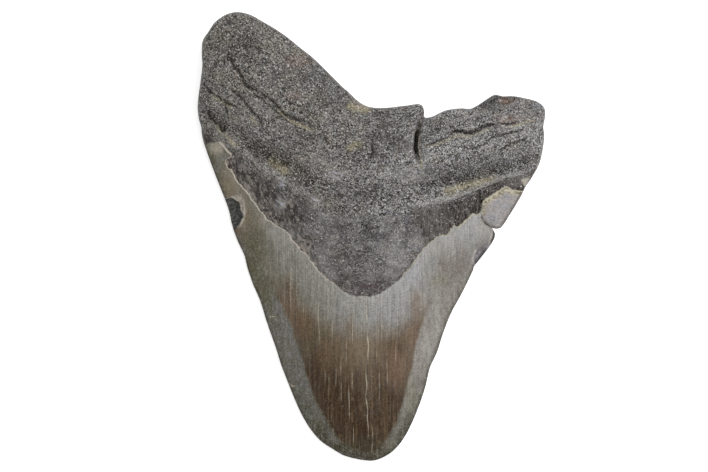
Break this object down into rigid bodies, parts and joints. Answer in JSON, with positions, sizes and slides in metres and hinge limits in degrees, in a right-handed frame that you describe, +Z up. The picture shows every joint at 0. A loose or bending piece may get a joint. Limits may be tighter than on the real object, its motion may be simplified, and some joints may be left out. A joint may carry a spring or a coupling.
{
  "type": "fossil megalodon tooth",
  "caption": "Broad triangular fossil shark tooth with a worn domed crown, a V-shaped neck band and a thick two-lobed root.",
  "frame": {"origin": "middle of the outline's box, on the table the tooth lies on", "axes": "+Y from the crown's tip towards the root, +X to the right seen from above, +Z up out of the domed lingual face"},
  "size_m": [0.0944, 0.1218, 0.0254],
  "materials": {
    "tooth": "mineralised tooth: satin grey to brown enamel on the crown, gritty dull grey-brown root"
  },
  "bodies": {
    "root": {"tooth": "tooth"}
  },
  "joints": []
}
